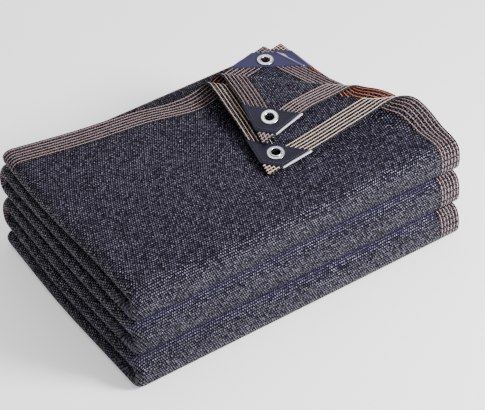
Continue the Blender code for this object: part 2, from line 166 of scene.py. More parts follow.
def through(rows: Sequence[tuple[float, float]], at: Array) -> Array:
    """A smooth curve through the rows, read at the given places (monotone cubic pieces)."""
    x = np.array([row[0] for row in rows])
    y = np.array([row[1] for row in rows])
    steps = np.diff(x)
    slopes = np.diff(y) / steps
    tangents = np.empty(len(x))
    tangents[0], tangents[-1] = slopes[0], slopes[-1]
    for i in range(1, len(x) - 1):
        both = slopes[i - 1] + slopes[i]
        tangents[i] = 2 * slopes[i - 1] * slopes[i] / both if slopes[i - 1] * slopes[i] > 0 else 0.0
    at = np.clip(at, x[0], x[-1])
    i = np.clip(np.searchsorted(x, at, side="right") - 1, 0, len(steps) - 1)
    t = (at - x[i]) / steps[i]
    rise = t * t * (3 - 2 * t)
    bow = tangents[i] * t * (1 - t) ** 2 - tangents[i + 1] * t * t * (1 - t)
    return y[i] * (1 - rise) + y[i + 1] * rise + steps[i] * bow


class Fold:
    """Where each point of the flat cloth lies in the bundle."""

    def __init__(self, sizes: FoldSizes) -> None:
        """Works out the ends of the passes.

        Args:
            sizes: the stack's driving sizes.
        """
        self.s = sizes
        self.front = sizes.sheet / 2 + sizes.turn_reach + sizes.turn_nest * sizes.outer
        self.back = sizes.depth - self.front
        self.ends = 2 * sizes.passes - 1
        self.last = 4 * sizes.passes - 1
        self.run = self.back - self.front
        self.profiles = {ply: self._profile(rows) for ply, (_, rows) in PEELS.items()}
        self.metres = self._metres()

    def _metres(self) -> Array:
        """Cloth length from the top back edge to each whole station."""
        bend, far = 42 * MM, 22 * MM
        outer = [self.run if k % 2 == 0 else bend for k in range(self.ends)]
        return np.concatenate([[0.0], np.cumsum(outer + [far] + outer[::-1])])

    def length_at(self, station: Array) -> Array:
        """Cloth length from the top back edge of the outer plies, in metres."""
        return np.interp(station, np.arange(len(self.metres)), self.metres)

    @staticmethod
    def _profile(rows: Sequence[tuple[float, float]]) -> Triple:
        """A peel's side view: lengths of cloth, with how far across and how high each lies."""
        lengths = np.concatenate([[0.0], np.cumsum([row[0] for row in rows])])
        turns = np.radians(np.concatenate([[0.0], np.cumsum([row[1] for row in rows])]))
        s = np.linspace(0, lengths[-1], 2000)
        heading = np.interp(s, lengths, turns)
        reach = np.concatenate([[0.0], np.cumsum(np.cos(heading))[:-1] * s[1]])
        rise = np.concatenate([[0.0], np.cumsum(np.sin(heading))[:-1] * s[1]])
        return s, reach, rise

    def left_reach(self, offset: float) -> float:
        """How far a left fold bulges, for a ply this far from the middle of its pass."""
        return 6.5 * MM + 0.93 * (offset - self.s.inner)

    def left_arc(self, offset: float) -> float:
        """Length of half a left fold's bend."""
        return math.pi / 4 * (offset + self.left_reach(offset))

    def half_width(self, offset: float) -> float:
        """Cloth from the left fold to a right edge."""
        return self.s.width - self.s.sheet / 2 - self.left_reach(self.s.outer) + self.left_arc(offset)

    def _across(self, w: Array, offset: Array) -> tuple[Array, Array]:
        """A place along the cloth from the left fold, as x and the signed offset from its pass."""
        arc = self.left_arc(offset)
        turn = np.clip(w / arc, -1, 1) * math.pi / 2
        centre = self.s.sheet / 2 + self.left_reach(self.s.outer)
        x = centre - self.left_reach(offset) * np.cos(turn) + np.maximum(np.abs(w) - arc, 0)
        return x, offset * np.sin(turn)

    def _swell(self, outward: Array, y: Array) -> Array:
        """How far an outside ply of a tier is pushed towards the next tier near the front."""
        s = self.s
        return s.front_swell * np.maximum(outward, 0) / s.outer * (1 - smooth((y - self.front) / 0.09))

    def _along(self, station: Array, n: Array) -> tuple[Array, Array]:
        """Depth and height in the stack for outer path stations 0 to 11."""
        s = self.s
        segment = np.clip(np.floor(station), 0, 2 * s.passes - 2)
        t = station - segment
        number = np.floor(segment / 2)
        to_front = number % 2 == 0
        outward = np.where(to_front, n, -n)
        middle = s.sheet / 2 + s.outer + (s.passes - 1 - number) * s.pitch
        start = np.where(to_front, self.back, self.front)
        finish = np.where(to_front, self.front, self.back)
        power = 0.9 - 0.1 * outward / s.outer
        bulge = (s.turn_reach + s.turn_nest * outward) * squared(np.sin(t * math.pi), power)
        bend_y = finish + np.where(to_front, -bulge, bulge)
        meets = np.where(t < 0.5, number > 0, number < s.passes - 2) & to_front
        half = s.pitch / 2 + outward + np.where(meets, self._swell(outward, self.front), 0)
        bend_z = middle - s.pitch / 2 + half * squared(np.cos(t * math.pi), power)
        pass_y = start + (finish - start) * t
        is_inner = (number > 0) & (number < s.passes - 1)
        side = n + np.where(is_inner, self._swell(n, pass_y), 0)
        pass_z = middle + np.where(to_front, side, -side)
        is_bend = segment % 2 == 1
        return np.where(is_bend, bend_y, pass_y), np.where(is_bend, bend_z, pass_z)

    def _spread(self, x: Array, y: Array, ply: int, in_top: Array) -> tuple[Array, Array]:
        """Draws the plies' edges to where they lie."""
        share = np.clip(x, 0, WIDTH) / WIDTH
        right = np.where(in_top, through(RIGHT_EDGES[ply], y), through(LOWER_RIGHT_EDGE, y))
        back = through(BACK_EDGES[ply], x) - self.back
        moved_x = x + (right - WIDTH) * share + through(LEFT_FOLD, y) * (1 - share)
        moved_y = y + np.where(in_top, back * smooth((y - 0.05) / (self.back - 0.05)), 0)
        return moved_x, moved_y

    def _settle(self, x: Array, y: Array, z: Array) -> Triple:
        """The gentle unevenness of a bundle folded by hand."""
        s = self.s
        q = x * ACROSS[0] + y * ACROSS[1]
        height = np.maximum(z - s.sheet, 0) / (s.passes * s.pitch) * (1 - smooth((q - 0.30) / 0.06))
        x = x + 2.2 * MM * height * (1 - x / s.width) * np.sin(19 * y + 33 * z + 0.6)
        y = y + 2.0 * MM * height * (1 - y / s.depth) * np.sin(13 * x - 41 * z + 1.9)
        z = z + 1.4 * MM * height * np.sin(14 * x + 0.4) * np.sin(17 * y + 1.0)
        low = 1 - np.clip(z / (s.passes * s.pitch), 0, 1)
        x = x + s.foot_spread * low * (2 * x / s.width - 1)
        y = y - s.foot_reach * low * (1 - y / s.depth)
        return x, y, z

    def _peel(self, x: Array, y: Array, z: Array, ply: int) -> Triple:
        """Bends the part of a ply beyond its peel's start up and over."""
        start = PEELS[ply][0]
        s, reach, rise = self.profiles[ply]
        q = x * ACROSS[0] + y * ACROSS[1]
        v = x * ALONG[0] + y * ALONG[1]
        beyond = np.maximum(q - start, 0)
        if ply in CRESTS:
            cx, cy, height, spread = CRESTS[ply]
            near = np.exp(-((x - cx) ** 2 + (y - cy) ** 2) / (2 * spread ** 2))
            z = z + height * near * smooth(beyond / 0.03)
        q = np.where(q > start, start + np.interp(beyond, s, reach), q)
        z = z + np.interp(beyond, s, rise)
        return q * ACROSS[0] + v * ALONG[0], q * ACROSS[1] + v * ALONG[1], z

    def place(self, station: Array, w: Array) -> Array:
        """Puts points of the flat cloth where they lie in the bundle.

        Args:
            station: places along the cloth, 0 to 23.
            w: distances from the left fold.

        Returns:
            The points' world positions, with a last axis of three.
        """
        s = self.s
        station, w = np.broadcast_arrays(np.asarray(station, float), np.asarray(w, float))
        far = np.clip(station - self.ends, 0, 1)
        offset = (s.outer + s.inner) / 2 + (s.outer - s.inner) / 2 * np.cos(far * math.pi)
        path = np.where(station <= self.ends, station, np.maximum(self.last - station, 0))
        path = np.where((station > self.ends) & (station < self.ends + 1), self.ends, path)
        x, n = self._across(w, offset)
        y, z = self._along(path, n)
        y = y + 6 * MM * np.sin(far * math.pi)
        in_top = path <= 1
        points = np.stack([x, y, z], -1)
        for ply in (1, 2, 3, 4):
            mine = ((w > 0) == (ply in (1, 2))) & ((station < self.ends + 0.5) == (ply in (1, 4)))
            px, py, pz = self._settle(*self._spread(x, y, ply, in_top), z)
            bent = self._peel(px, py, pz, ply)
            lying = np.stack([np.where(in_top, b, p) for b, p in zip(bent, (px, py, pz))], -1)
            points = np.where(mine[..., None], lying, points)
        return points - np.array([*s.middle, 0.0])

    def on_ply(self, ply: int, right: Array, back: Array) -> Array:
        """A point of the top pass, by its distances from the ply's right and back edges."""
        return self.place(*self.flat(ply, right, back))

    def flat(self, ply: int, right: Array, back: Array) -> tuple[Array, Array]:
        """Flat coordinates of a point given by its distances from a ply's right and back edges."""
        offset = self.s.outer if ply in (1, 4) else self.s.inner
        w = self.half_width(offset) - np.asarray(right, float)
        share = np.asarray(back, float) / self.run
        return (share if ply in (1, 4) else self.last - share), (w if ply in (1, 2) else -w)

    def frames(self, station: Array, w: Array) -> tuple[Array, Array]:
        """Points with the unit normals of the cloth's face side."""
        h = 1e-3
        points = self.place(station, w)
        by_station = self.place(station + h, w) - self.place(station - h, w)
        by_w = self.place(station, w + h) - self.place(station, w - h)
        normals = np.cross(by_station, by_w)
        return points, normals / np.maximum(np.linalg.norm(normals, axis=-1, keepdims=True), 1e-12)


def linear(colour: str) -> tuple[float, float, float, float]:
    """A hex sRGB colour as linear RGBA."""
    parts = [int(colour[i:i + 2], 16) / 255 for i in (1, 3, 5)]
    return (*[c / 12.92 if c <= 0.04045 else ((c + 0.055) / 1.055) ** 2.4 for c in parts], 1.0)


class Graph:
    """A short way to write shader and geometry node trees."""

    def __init__(self, tree: bpy.types.NodeTree) -> None:
        """Takes the tree to write in."""
        self.tree = tree

    def node(self, kind: str, **settings: object) -> bpy.types.Node:
        """Adds a node and sets its properties."""
        made = self.tree.nodes.new(kind)
        for name, value in settings.items():
            setattr(made, name, value)
        return made

    def feed(self, socket: bpy.types.NodeSocket, value: object) -> None:
        """Links a socket's source, or sets its value."""
        if isinstance(value, bpy.types.NodeSocket):
            self.tree.links.new(value, socket)
        elif value is not None:
            socket.default_value = value

    def math(self, operation: str, a: object, b: object = None, c: object = None) -> bpy.types.NodeSocket:
        """A Math node's result."""
        made = self.node("ShaderNodeMath", operation=operation)
        for socket, value in zip(made.inputs, (a, b, c)):
            self.feed(socket, value)
        return made.outputs[0]

    def times(self, *values: object) -> bpy.types.NodeSocket:
        """The product of the values."""
        product = values[0]
        for value in values[1:]:
            product = self.math("MULTIPLY", product, value)
        return product

    def apart(self, a: object, b: object) -> bpy.types.NodeSocket:
        """How far two values are from each other."""
        return self.math("ABSOLUTE", self.math("SUBTRACT", a, b))

    def step(self, value: object, low: float, high: float) -> bpy.types.NodeSocket:
        """A smooth step from 0 at low to 1 at high; low may be the larger."""
        made = self.node("ShaderNodeMapRange", interpolation_type="SMOOTHSTEP", clamp=True)
        flip = low > high
        self.feed(made.inputs["Value"], value)
        made.inputs["From Min"].default_value = min(low, high)
        made.inputs["From Max"].default_value = max(low, high)
        made.inputs["To Min"].default_value = 1.0 if flip else 0.0
        made.inputs["To Max"].default_value = 0.0 if flip else 1.0
        return made.outputs["Result"]

    def mix(self, share: object, a: object, b: object) -> bpy.types.NodeSocket:
        """A colour mix."""
        made = self.node("ShaderNodeMix", data_type="RGBA")
        self.feed(made.inputs[0], share)
        self.feed(made.inputs[6], linear(a) if isinstance(a, str) else a)
        self.feed(made.inputs[7], linear(b) if isinstance(b, str) else b)
        return made.outputs[2]

    def noise(self, vector: object, scale: float, detail: float = 2.0) -> bpy.types.NodeSocket:
        """A noise texture's value."""
        made = self.node("ShaderNodeTexNoise")
        self.feed(made.inputs["Vector"], vector)
        made.inputs["Scale"].default_value = scale
        made.inputs["Detail"].default_value = detail
        return made.outputs[0]

    def vector(self, x: object, y: object, z: object = 0.0) -> bpy.types.NodeSocket:
        """A vector from three numbers."""
        made = self.node("ShaderNodeCombineXYZ")
        for socket, value in zip(made.inputs, (x, y, z)):
            self.feed(socket, value)
        return made.outputs[0]


def new_material(name: str, finish: Finish) -> tuple[bpy.types.Material, Graph, bpy.types.Node]:
    """A Principled material with its graph and shader node."""
    mat = bpy.data.materials.new(name)
    mat.use_nodes = True
    shader = mat.node_tree.nodes["Principled BSDF"]
    shader.inputs["Base Color"].default_value = linear(finish.colour)
    shader.inputs["Roughness"].default_value = finish.roughness
    shader.inputs["Metallic"].default_value = finish.metallic
    return mat, Graph(mat.node_tree), shader


def add_bump(g: Graph, shader: bpy.types.Node, height: object, strength: float, depth: float) -> None:
    """Gives a surface its relief.

    Args:
        g: the material's graph.
        shader: its shader node.
        height: the relief's height.
        strength: of the bump.
        depth: what a height of one stands for.
    """
    bump = g.node("ShaderNodeBump")
    bump.inputs["Strength"].default_value = strength
    bump.inputs["Distance"].default_value = depth
    g.feed(bump.inputs["Height"], height)
    g.feed(shader.inputs["Normal"], bump.outputs[0])


class KnitMaterial:
    """Raschel knit of flat polyethylene tape with glinting monofilament, some glints painted into its
    colour, and its striped border.
    """

    WALE = 3.4 * MM      # one wale to the next, across the cloth
    COURSE = 3.4 * MM    # one course to the next, along it
    CREASE_GLOW = 13 * MM     # how far the painted violet glow of light in the front creases reaches
    JITTER = 0.2         # how far a loop strays, in parts of its cell

    def __init__(self, side: Side, border: BorderSizes, half_width: float, length: float,
                 bands: Sequence[float], creases: Sequence[float]) -> None:
        """Takes the knit's side, its border, its flat size, its cross bands and front creases."""
        self.side = side
        self.border = border
        self.half_width = half_width
        self.length = length
        self.bands = bands
        self.creases = creases

    def _lines(self, g: Graph, edge: object, run: object) -> bpy.types.NodeSocket:
        """Stripe lines at set distances from an edge, dashed along their run on the face."""
        b = self.border
        place = g.math("DIVIDE", g.math("SUBTRACT", edge, b.first - b.pitch / 2), b.pitch)
        line = g.step(g.apart(g.math("FRACT", place), 0.5), 0.12, 0.05)
        begun = g.math("GREATER_THAN", place, 0.0)
        line = g.times(line, begun, g.math("LESS_THAN", place, float(b.lines)))
        if self.side is Side.REVERSE:
            return line
        beat = g.math("FRACT", g.math("DIVIDE", run, b.dash))
        return g.times(line, g.step(g.apart(beat, 0.5), b.dash_share / 2 + 0.06, b.dash_share / 2 - 0.06))

    def build(self, name: str) -> bpy.types.Material:
        """Makes the material.

        Args:
            name: its name.

        Returns:
            The finished material.
        """
        mat, g, shader = new_material(name, Finish("#1b1926", 0.5))
        uv = g.node("ShaderNodeUVMap", uv_map="flat")
        split = g.node("ShaderNodeSeparateXYZ")
        g.feed(split.inputs[0], uv.outputs[0])
        u, v = split.outputs[0], split.outputs[1]
        drawn = g.node("ShaderNodeUVMap", uv_map="knit")
        along = g.node("ShaderNodeSeparateXYZ")
        g.feed(along.inputs[0], drawn.outputs[0])

        row = g.math("DIVIDE", along.outputs[0], self.COURSE)
        shift = g.times(g.math("MODULO", g.math("FLOOR", row), 2.0), 0.5)
        column = g.math("ADD", g.math("DIVIDE", v, self.WALE), shift)
        cell = g.node("ShaderNodeTexWhiteNoise", noise_dimensions="2D")
        g.feed(cell.inputs["Vector"], g.vector(g.math("FLOOR", column), g.math("FLOOR", row)))
        chance = cell.outputs["Value"]
        tint = g.node("ShaderNodeSeparateColor")
        g.feed(tint.inputs[0], cell.outputs["Color"])
        lean = [g.math("SUBTRACT", tint.outputs[axis], 0.5) for axis in (0, 1)]
        inside = [g.math("SUBTRACT", g.math("FRACT", place), 0.5) for place in (column, row)]
        off = [g.math("SUBTRACT", at, g.times(jitter, self.JITTER)) for at, jitter in zip(inside, lean)]
        radius = g.math("SQRT", g.math("ADD", g.times(off[0], off[0]), g.times(off[1], off[1])))
        loop = g.step(radius, 0.47, 0.2)
        sides = [g.math("ABSOLUTE", at) for at in inside]
        strand = g.step(g.apart(sides[0], sides[1]), 0.16, 0.04)
        lit = g.times(loop, g.math("ADD", 0.15, g.times(chance, 0.9)))
        # Painted highlight: a few loops at random are coloured pale grey as glints.
        painted_glint = g.times(g.step(radius, 0.36, 0.1), g.step(chance, 0.8, 1.0))

        knit = g.mix(g.times(strand, 0.8), "#040306", "#1e1b28")
        knit = g.mix(lit, knit, "#464159")
        knit = g.mix(g.times(painted_glint, 0.4), knit, "#8e8ea6")
        # Painted light: the knit is lightened towards violet along the front creases, for light that passes
        # through and bounces between the plies.
        painted_crease_glow = 0.0
        for at in self.creases:
            painted_crease_glow = g.math("MAXIMUM", painted_crease_glow, g.step(g.apart(u, at), self.CREASE_GLOW, 0.0))
        knit = g.mix(g.times(painted_crease_glow, g.math("ADD", 0.2, loop), 0.32), knit, "#6a6490")

        dv = g.math("SUBTRACT", self.half_width, g.math("ABSOLUTE", v))
        du = g.math("MINIMUM", u, g.math("SUBTRACT", self.length, u))
        lines = g.math("MAXIMUM", self._lines(g, dv, u), self._lines(g, du, v))
        near = g.math("MINIMUM", dv, du)
        in_border = g.math("LESS_THAN", near, self.border.width)
        groove = g.step(g.apart(near, self.border.width), 1.4 * MM, 0.6 * MM)
        for band in self.bands:
            from_start = g.math("SUBTRACT", u, band - self.border.width / 2)
            lines = g.math("MAXIMUM", lines, self._lines(g, from_start, v))
            in_band = g.math("LESS_THAN", g.apart(u, band), self.border.width / 2)
            in_border = g.math("MAXIMUM", in_border, in_band)
        stripe = "#c4a9ad" if self.side is Side.FACE else "#d9a67c"
        ground = g.mix(g.times(lines, 0.9), g.mix(lit, "#120c10", "#483a44"), stripe)
        colour = g.mix(g.times(groove, 0.85), g.mix(in_border, knit, ground), "#050407")
        g.feed(shader.inputs["Base Color"], colour)
        gloss = g.math("ADD", 0.22, g.times(chance, 0.14))
        gloss = g.times(loop, g.math("SUBTRACT", 1.0, in_border), gloss)
        g.feed(shader.inputs["Roughness"], g.math("SUBTRACT", 0.6, gloss))
        g.feed(shader.inputs["Specular IOR Level"], g.times(lit, 1.1))

        slope = g.math("ADD", g.times(inside[0], lean[0]), g.times(inside[1], lean[1]))
        height = g.times(loop, g.math("ADD", 0.6, g.times(slope, 2.0)))
        add_bump(g, shader, g.math("ADD", height, g.times(strand, 0.3)), 0.85, 1.0 * MM)
        return mat


class Materials:
    """Every surface of the part, named for what it really is."""

    def __init__(self, border: BorderSizes, fold: Fold) -> None:
        """Makes them all.

        Args:
            border: the striped border's sizes.
            fold: gives the flat cloth's size and where its cross bands lie.
        """
        half = fold.half_width(fold.s.outer)
        length = float(fold.metres[-1])
        bands = [float(fold.length_at(at)) for at in (3.45, 7.45)]
        creases = [float(fold.length_at(at)) for at in (2.0, 5.0, 6.0, 9.0)]
        face, reverse = (KnitMaterial(side, border, half, length, bands, creases) for side in Side)
        self.face = face.build("HDPE shade knit, face")
        self.reverse = reverse.build("HDPE shade knit, reverse")
        self.selvedge = self._plain("selvedge yarn, black", Finish("#0d0c10", 0.7), 900.0, 0.25)
        self.dash = self._plain("stripe yarn, dusty pink", Finish("#c9adb0", 0.55), 1400.0, 0.3)
        # Painted light: a lighter cream copy of the reverse-side stripe yarn for where it lies in the
        # light; the orange floats are the same yarn.
        self.painted_light_cream = self._plain("stripe yarn floats, cream", Finish("#f6e4d2", 0.5), 1400.0, 0.22)
        self.orange = self._plain("stripe yarn floats, orange", Finish("#e5764a", 0.5), 1400.0, 0.3)
        self.thread = self._plain("polyester sewing thread, navy", Finish("#3a3b5c", 0.5), 1200.0, 0.3)
        self.vinyl = self._vinyl()
        self.metal = self._metal("nickel-plated aluminium", Finish("#dfe1e6", 0.2, 1.0))
        self.washer = self._metal("nickel-plated washer", Finish("#c9cbd2", 0.27, 1.0))

    @staticmethod
    def _plain(name: str, finish: Finish, scale: float, depth: float) -> bpy.types.Material:
        """A yarn: its twist varies the shade and stands in relief."""
        mat, g, shader = new_material(name, finish)
        coords = g.node("ShaderNodeTexCoord")
        grain = g.noise(coords.outputs["Object"], scale, 2.0)
        dark = "#" + "".join(f"{int(int(finish.colour[i:i + 2], 16) * (1 - depth)):02x}" for i in (1, 3, 5))
        g.feed(shader.inputs["Base Color"], g.mix(g.step(grain, 0.35, 0.62), dark, finish.colour))
        add_bump(g, shader, grain, 0.5, 0.2 * MM)
        return mat

    @staticmethod
    def _vinyl() -> bpy.types.Material:
        """Coated fabric, navy, lighter on the corner patches and darker on the flap patches as painted
        light and shade, with a painted highlight along its fold at the right edge.
        """
        mat, g, shader = new_material("PVC-coated fabric, navy", Finish("#262741", 0.45))
        coords = g.node("ShaderNodeTexCoord")
        grain = g.noise(coords.outputs["Object"], 900.0, 3.0)
        cloud = g.noise(coords.outputs["Object"], 45.0, 3.0)
        fold_highlight_attr = g.node("ShaderNodeAttribute", attribute_name="fold")
        side = g.node("ShaderNodeAttribute", attribute_name="painted_light_share")
        # Painted light and shade: the corner patches are coloured lighter and the flap patches darker.
        base = g.mix(side.outputs["Fac"], "#0e0c1a", "#2b2847")
        base = g.mix(g.times(g.step(cloud, 0.35, 0.7), 0.2), base, "#23213a")
        base = g.mix(g.times(g.step(grain, 0.55, 0.75), 0.12), base, "#4a4860")
        # Painted highlight: a pale line along the sleeve's fold at the right edge.
        base = g.mix(fold_highlight_attr.outputs["Fac"], base, "#e4e3ee")
        g.feed(shader.inputs["Base Color"], base)
        shader.inputs["Specular IOR Level"].default_value = 0.2
        add_bump(g, shader, g.math("ADD", grain, g.times(cloud, 2.0)), 0.35, 0.15 * MM)
        return mat

    @staticmethod
    def _metal(name: str, finish: Finish) -> bpy.types.Material:
        """Bright plating with faint press marks."""
        mat, g, shader = new_material(name, finish)
        coords = g.node("ShaderNodeTexCoord")
        marks = g.noise(coords.outputs["Object"], 420.0, 4.0)
        dulled = g.times(g.step(marks, 0.5, 0.8), 0.18)
        g.feed(shader.inputs["Roughness"], g.math("ADD", finish.roughness, dulled))
        add_bump(g, shader, marks, 0.12, 0.1 * MM)
        return mat


def link(name: str, mesh: bpy.types.Mesh) -> bpy.types.Object:
    """An object with this mesh in the scene."""
    obj = bpy.data.objects.new(name, mesh)
    bpy.context.scene.collection.objects.link(obj)
    return obj


def settled(obj: bpy.types.Object) -> bpy.types.Object:
    """The object with its modifiers worked into its mesh.

    Args:
        obj: an object with live modifiers.

    Returns:
        The same object, with a plain mesh and no modifiers.
    """
    depsgraph = bpy.context.evaluated_depsgraph_get()
    mesh = bpy.data.meshes.new_from_object(obj.evaluated_get(depsgraph), preserve_all_data_layers=True,
                                           depsgraph=depsgraph)
    obj.modifiers.clear()
    old = obj.data
    obj.data = mesh
    bpy.data.meshes.remove(old)
    mesh.name = obj.name
    return obj


class Cloth:
    """The knitted sheet on a fine grid of the fold."""

    THICKNESS = 1.7 * MM
    HOLE = 7.6 * MM      # radius that an eyelet leaves free of knit

    def __init__(self, fold: Fold) -> None:
        """Takes the fold that it follows."""
        self.fold = fold

    def rows(self) -> Array:
        """Stations, fine on the top pass and in the bends."""
        outer: list[float] = []
        for number in range(self.fold.s.passes):
            count = 62 if number == 0 else 7
            outer += [2 * number + k / count for k in range(count)]
            if number < self.fold.s.passes - 1:
                outer += [2 * number + 1 + k / 12 for k in range(12)]
        outer.append(self.fold.ends)
        far = [self.fold.ends + k / 6 for k in range(1, 6)]
        return np.array(outer + far + [self.fold.last - at for at in reversed(outer)])

    def columns(self) -> Array:
        """Shares of the half width, fine round the left fold and where the corners are peeled."""
        half = self.fold.half_width(self.fold.s.outer)
        bend = self.fold.left_arc(self.fold.s.outer) / half
        arc = [bend * k / 7 for k in range(8)]
        middle = list(np.linspace(bend, 0.40, 13)[1:])
        fine = list(np.linspace(0.40, 1.0, 64)[1:])
        coarse = list(np.linspace(bend, 0.85, 30)[1:]) + list(np.linspace(0.85, 1.0, 16)[1:])
        return np.array([-c for c in reversed(arc[1:] + coarse)] + arc + middle + fine)

    def _courses(self, rows: Array, points: Array, flat: Array) -> Array:
        """Lengths along the cloth as it is drawn over the outside of its bends.

        Args:
            rows: the stations.
            points: the grid's points, rows by columns by three.
            flat: the grid's lengths along the flat cloth, rows by columns.

        Returns:
            The lengths, rows by columns.
        """
        drawn = flat.copy()
        for i in range(1, len(rows)):
            in_bend = rows[i] <= self.fold.ends and math.ceil(rows[i] - 1e-9) % 2 == 0
            if in_bend:
                drawn[i] = drawn[i - 1] + np.linalg.norm(points[i] - points[i - 1], axis=1)
        return drawn

    def _clear_of_eyelets(self, points: Array, faces: Array, setback: float) -> Array:
        """The faces that are left when the eyelets' holes are cut."""
        left = np.ones(len(faces), bool)
        for ply in CORNERS.values():
            axis = Corner(self.fold, ply).eyelet_frame(setback)
            off = (points - np.array(axis.translation[:])) @ np.array(axis.to_3x3())
            inside = (np.hypot(off[:, 0], off[:, 1]) < self.HOLE) & (np.abs(off[:, 2]) < 3 * MM)
            left &= ~inside[faces].any(1)
            middle = off[faces].mean(1)
            left &= ~((np.hypot(middle[:, 0], middle[:, 1]) < self.HOLE) & (np.abs(middle[:, 2]) < 3 * MM))
        return faces[left]

    def build(self, materials: Materials, sizes: PatchSizes) -> bpy.types.Object:
        """Makes the sheet with its thickness and its eyelet holes.

        Args:
            materials: the part's surfaces.
            sizes: give where the eyelets are.

        Returns:
            The cloth, closed, with a UV map "flat" in metres of flat cloth.
        """
        fold = self.fold
        rows, columns = self.rows(), self.columns()
        outer, inner = fold.half_width(fold.s.outer), fold.half_width(fold.s.inner)
        half = outer + (inner - outer) * smooth(rows - fold.ends)
        station = np.repeat(rows[:, None], len(columns), 1)
        w = half[:, None] * columns[None, :]
        points = fold.place(station, w).reshape(-1, 3)
        count = len(columns)
        i, j = np.meshgrid(np.arange(len(rows) - 1), np.arange(count - 1), indexing="ij")
        corner = (i * count + j).ravel()
        faces = np.stack([corner, corner + count, corner + count + 1, corner + 1], -1)
        faces = self._clear_of_eyelets(points, faces, sizes.setback)
        mesh = bpy.data.meshes.new("shade_cloth")
        mesh.from_pydata(points.tolist(), [], faces.tolist())
        flat = np.stack([fold.length_at(station), columns[None, :] * outer + 0 * station], -1)
        flat = flat.reshape(-1, 2)
        layer = mesh.uv_layers.new(name="flat")
        layer.data.foreach_set("uv", flat[faces.ravel()].astype(np.float32).ravel())
        grid = points.reshape(len(rows), count, 3)
        courses = self._courses(rows, grid, flat[:, 0].reshape(len(rows), count))
        knit = np.stack([courses.ravel(), flat[:, 1]], -1)
        drawn = mesh.uv_layers.new(name="knit")
        drawn.data.foreach_set("uv", knit[faces.ravel()].astype(np.float32).ravel())
        mesh.polygons.foreach_set("use_smooth", np.ones(len(faces), bool))
        for mat in (materials.face, materials.reverse, materials.selvedge):
            mesh.materials.append(mat)
        obj = link("shade_cloth", mesh)
        thick = obj.modifiers.new("thickness", "SOLIDIFY")
        thick.thickness = self.THICKNESS
        thick.offset = 0.0
        thick.use_quality_normals = True
        thick.material_offset = 1
        thick.material_offset_rim = 2
        return settled(obj)


class PathNodes:
    """Geometry Nodes that make thread or yarn along every edge path of a mesh."""

    def __init__(self, name: str, size: str) -> None:
        """Builds the node group once.

        Args:
            name: the group's name.
            size: what the group calls its driving size.
        """
        tree = bpy.data.node_groups.new(name, "GeometryNodeTree")
        face = tree.interface
        face.new_socket("Geometry", in_out="INPUT", socket_type="NodeSocketGeometry")
        self.size = face.new_socket(size, in_out="INPUT", socket_type="NodeSocketFloat").identifier
        yarn = face.new_socket("Yarn", in_out="INPUT", socket_type="NodeSocketMaterial")
        self.material = yarn.identifier
        face.new_socket("Geometry", in_out="OUTPUT", socket_type="NodeSocketGeometry")
        g = Graph(tree)
        start, end = g.node("NodeGroupInput"), g.node("NodeGroupOutput")
        to_curve = g.node("GeometryNodeMeshToCurve")
        real = g.node("GeometryNodeRealizeInstances")
        paint = g.node("GeometryNodeSetMaterial")
        g.feed(to_curve.inputs["Mesh"], start.outputs[0])
        g.feed(real.inputs["Geometry"], self._shape(g, to_curve.outputs[0], start.outputs[1]))
        g.feed(paint.inputs["Geometry"], real.outputs[0])
        g.feed(paint.inputs["Material"], start.outputs[2])
        g.feed(end.inputs[0], paint.outputs[0])
        self.tree = tree

    def _shape(self, g: Graph, curve: object, size: object) -> bpy.types.NodeSocket:
        """What stands along the curve."""
        raise NotImplementedError

    def make(self, name: str, paths: Sequence[Array], size: float,
             mat: bpy.types.Material) -> bpy.types.Object:
        """Makes one piece of all that runs along these paths.

        Args:
            name: the piece's name.
            paths: point lists, one for each run.
            size: the driving size.
            mat: its material.

        Returns:
            The piece as a plain mesh.
        """
        verts: list[list[float]] = []
        edges: list[tuple[int, int]] = []
        for path in paths:
            first = len(verts)
            verts += path.tolist()
            edges += [(first + k, first + k + 1) for k in range(len(path) - 1)]
        mesh = bpy.data.meshes.new(name)
        mesh.from_pydata(verts, edges, [])
        obj = link(name, mesh)
        modifier = obj.modifiers.new("along the paths", "NODES")
        modifier.node_group = self.tree
        modifier[self.size] = size
        modifier[self.material] = mat
        settled(obj)
        obj.data.polygons.foreach_set("use_smooth", np.ones(len(obj.data.polygons), bool))
        return obj


class YarnNodes(PathNodes):
    """Round yarn."""

    def __init__(self) -> None:
        """Builds the group, driven by the yarn's radius."""
        super().__init__("stripe_yarns", "Yarn radius")

    def _shape(self, g: Graph, curve: object, size: object) -> bpy.types.NodeSocket:
        """A tube with closed ends."""
        profile = g.node("GeometryNodeCurvePrimitiveCircle")
        tube = g.node("GeometryNodeCurveToMesh")
        profile.inputs["Resolution"].default_value = 6
        tube.inputs["Fill Caps"].default_value = True
        g.feed(profile.inputs["Radius"], size)
        g.feed(tube.inputs["Curve"], curve)
        g.feed(tube.inputs["Profile Curve"], profile.outputs[0])
        return tube.outputs[0]


class StitchNodes(PathNodes):
    """One sewn stitch after another."""

    def __init__(self) -> None:
        """Builds the group, driven by the stitches' pitch."""
        super().__init__("sewn_stitches", "Stitch pitch")

    def _shape(self, g: Graph, curve: object, size: object) -> bpy.types.NodeSocket:
        """Long beads at even distances, turned along the curve."""
        points = g.node("GeometryNodeCurveToPoints", mode="LENGTH")
        stitch = g.node("GeometryNodeMeshUVSphere")
        shape = g.node("GeometryNodeTransform")
        place = g.node("GeometryNodeInstanceOnPoints")
        stitch.inputs["Segments"].default_value = 8
        stitch.inputs["Rings"].default_value = 6
        stitch.inputs["Radius"].default_value = 0.35 * MM
        shape.inputs["Scale"].default_value = (1.0, 1.0, 3.4)
        g.feed(points.inputs["Curve"], curve)
        g.feed(points.inputs["Length"], size)
        g.feed(shape.inputs["Geometry"], stitch.outputs[0])
        g.feed(place.inputs["Points"], points.outputs["Points"])
        g.feed(place.inputs["Instance"], shape.outputs[0])
        g.feed(place.inputs["Rotation"], points.outputs["Rotation"])
        return place.outputs[0]


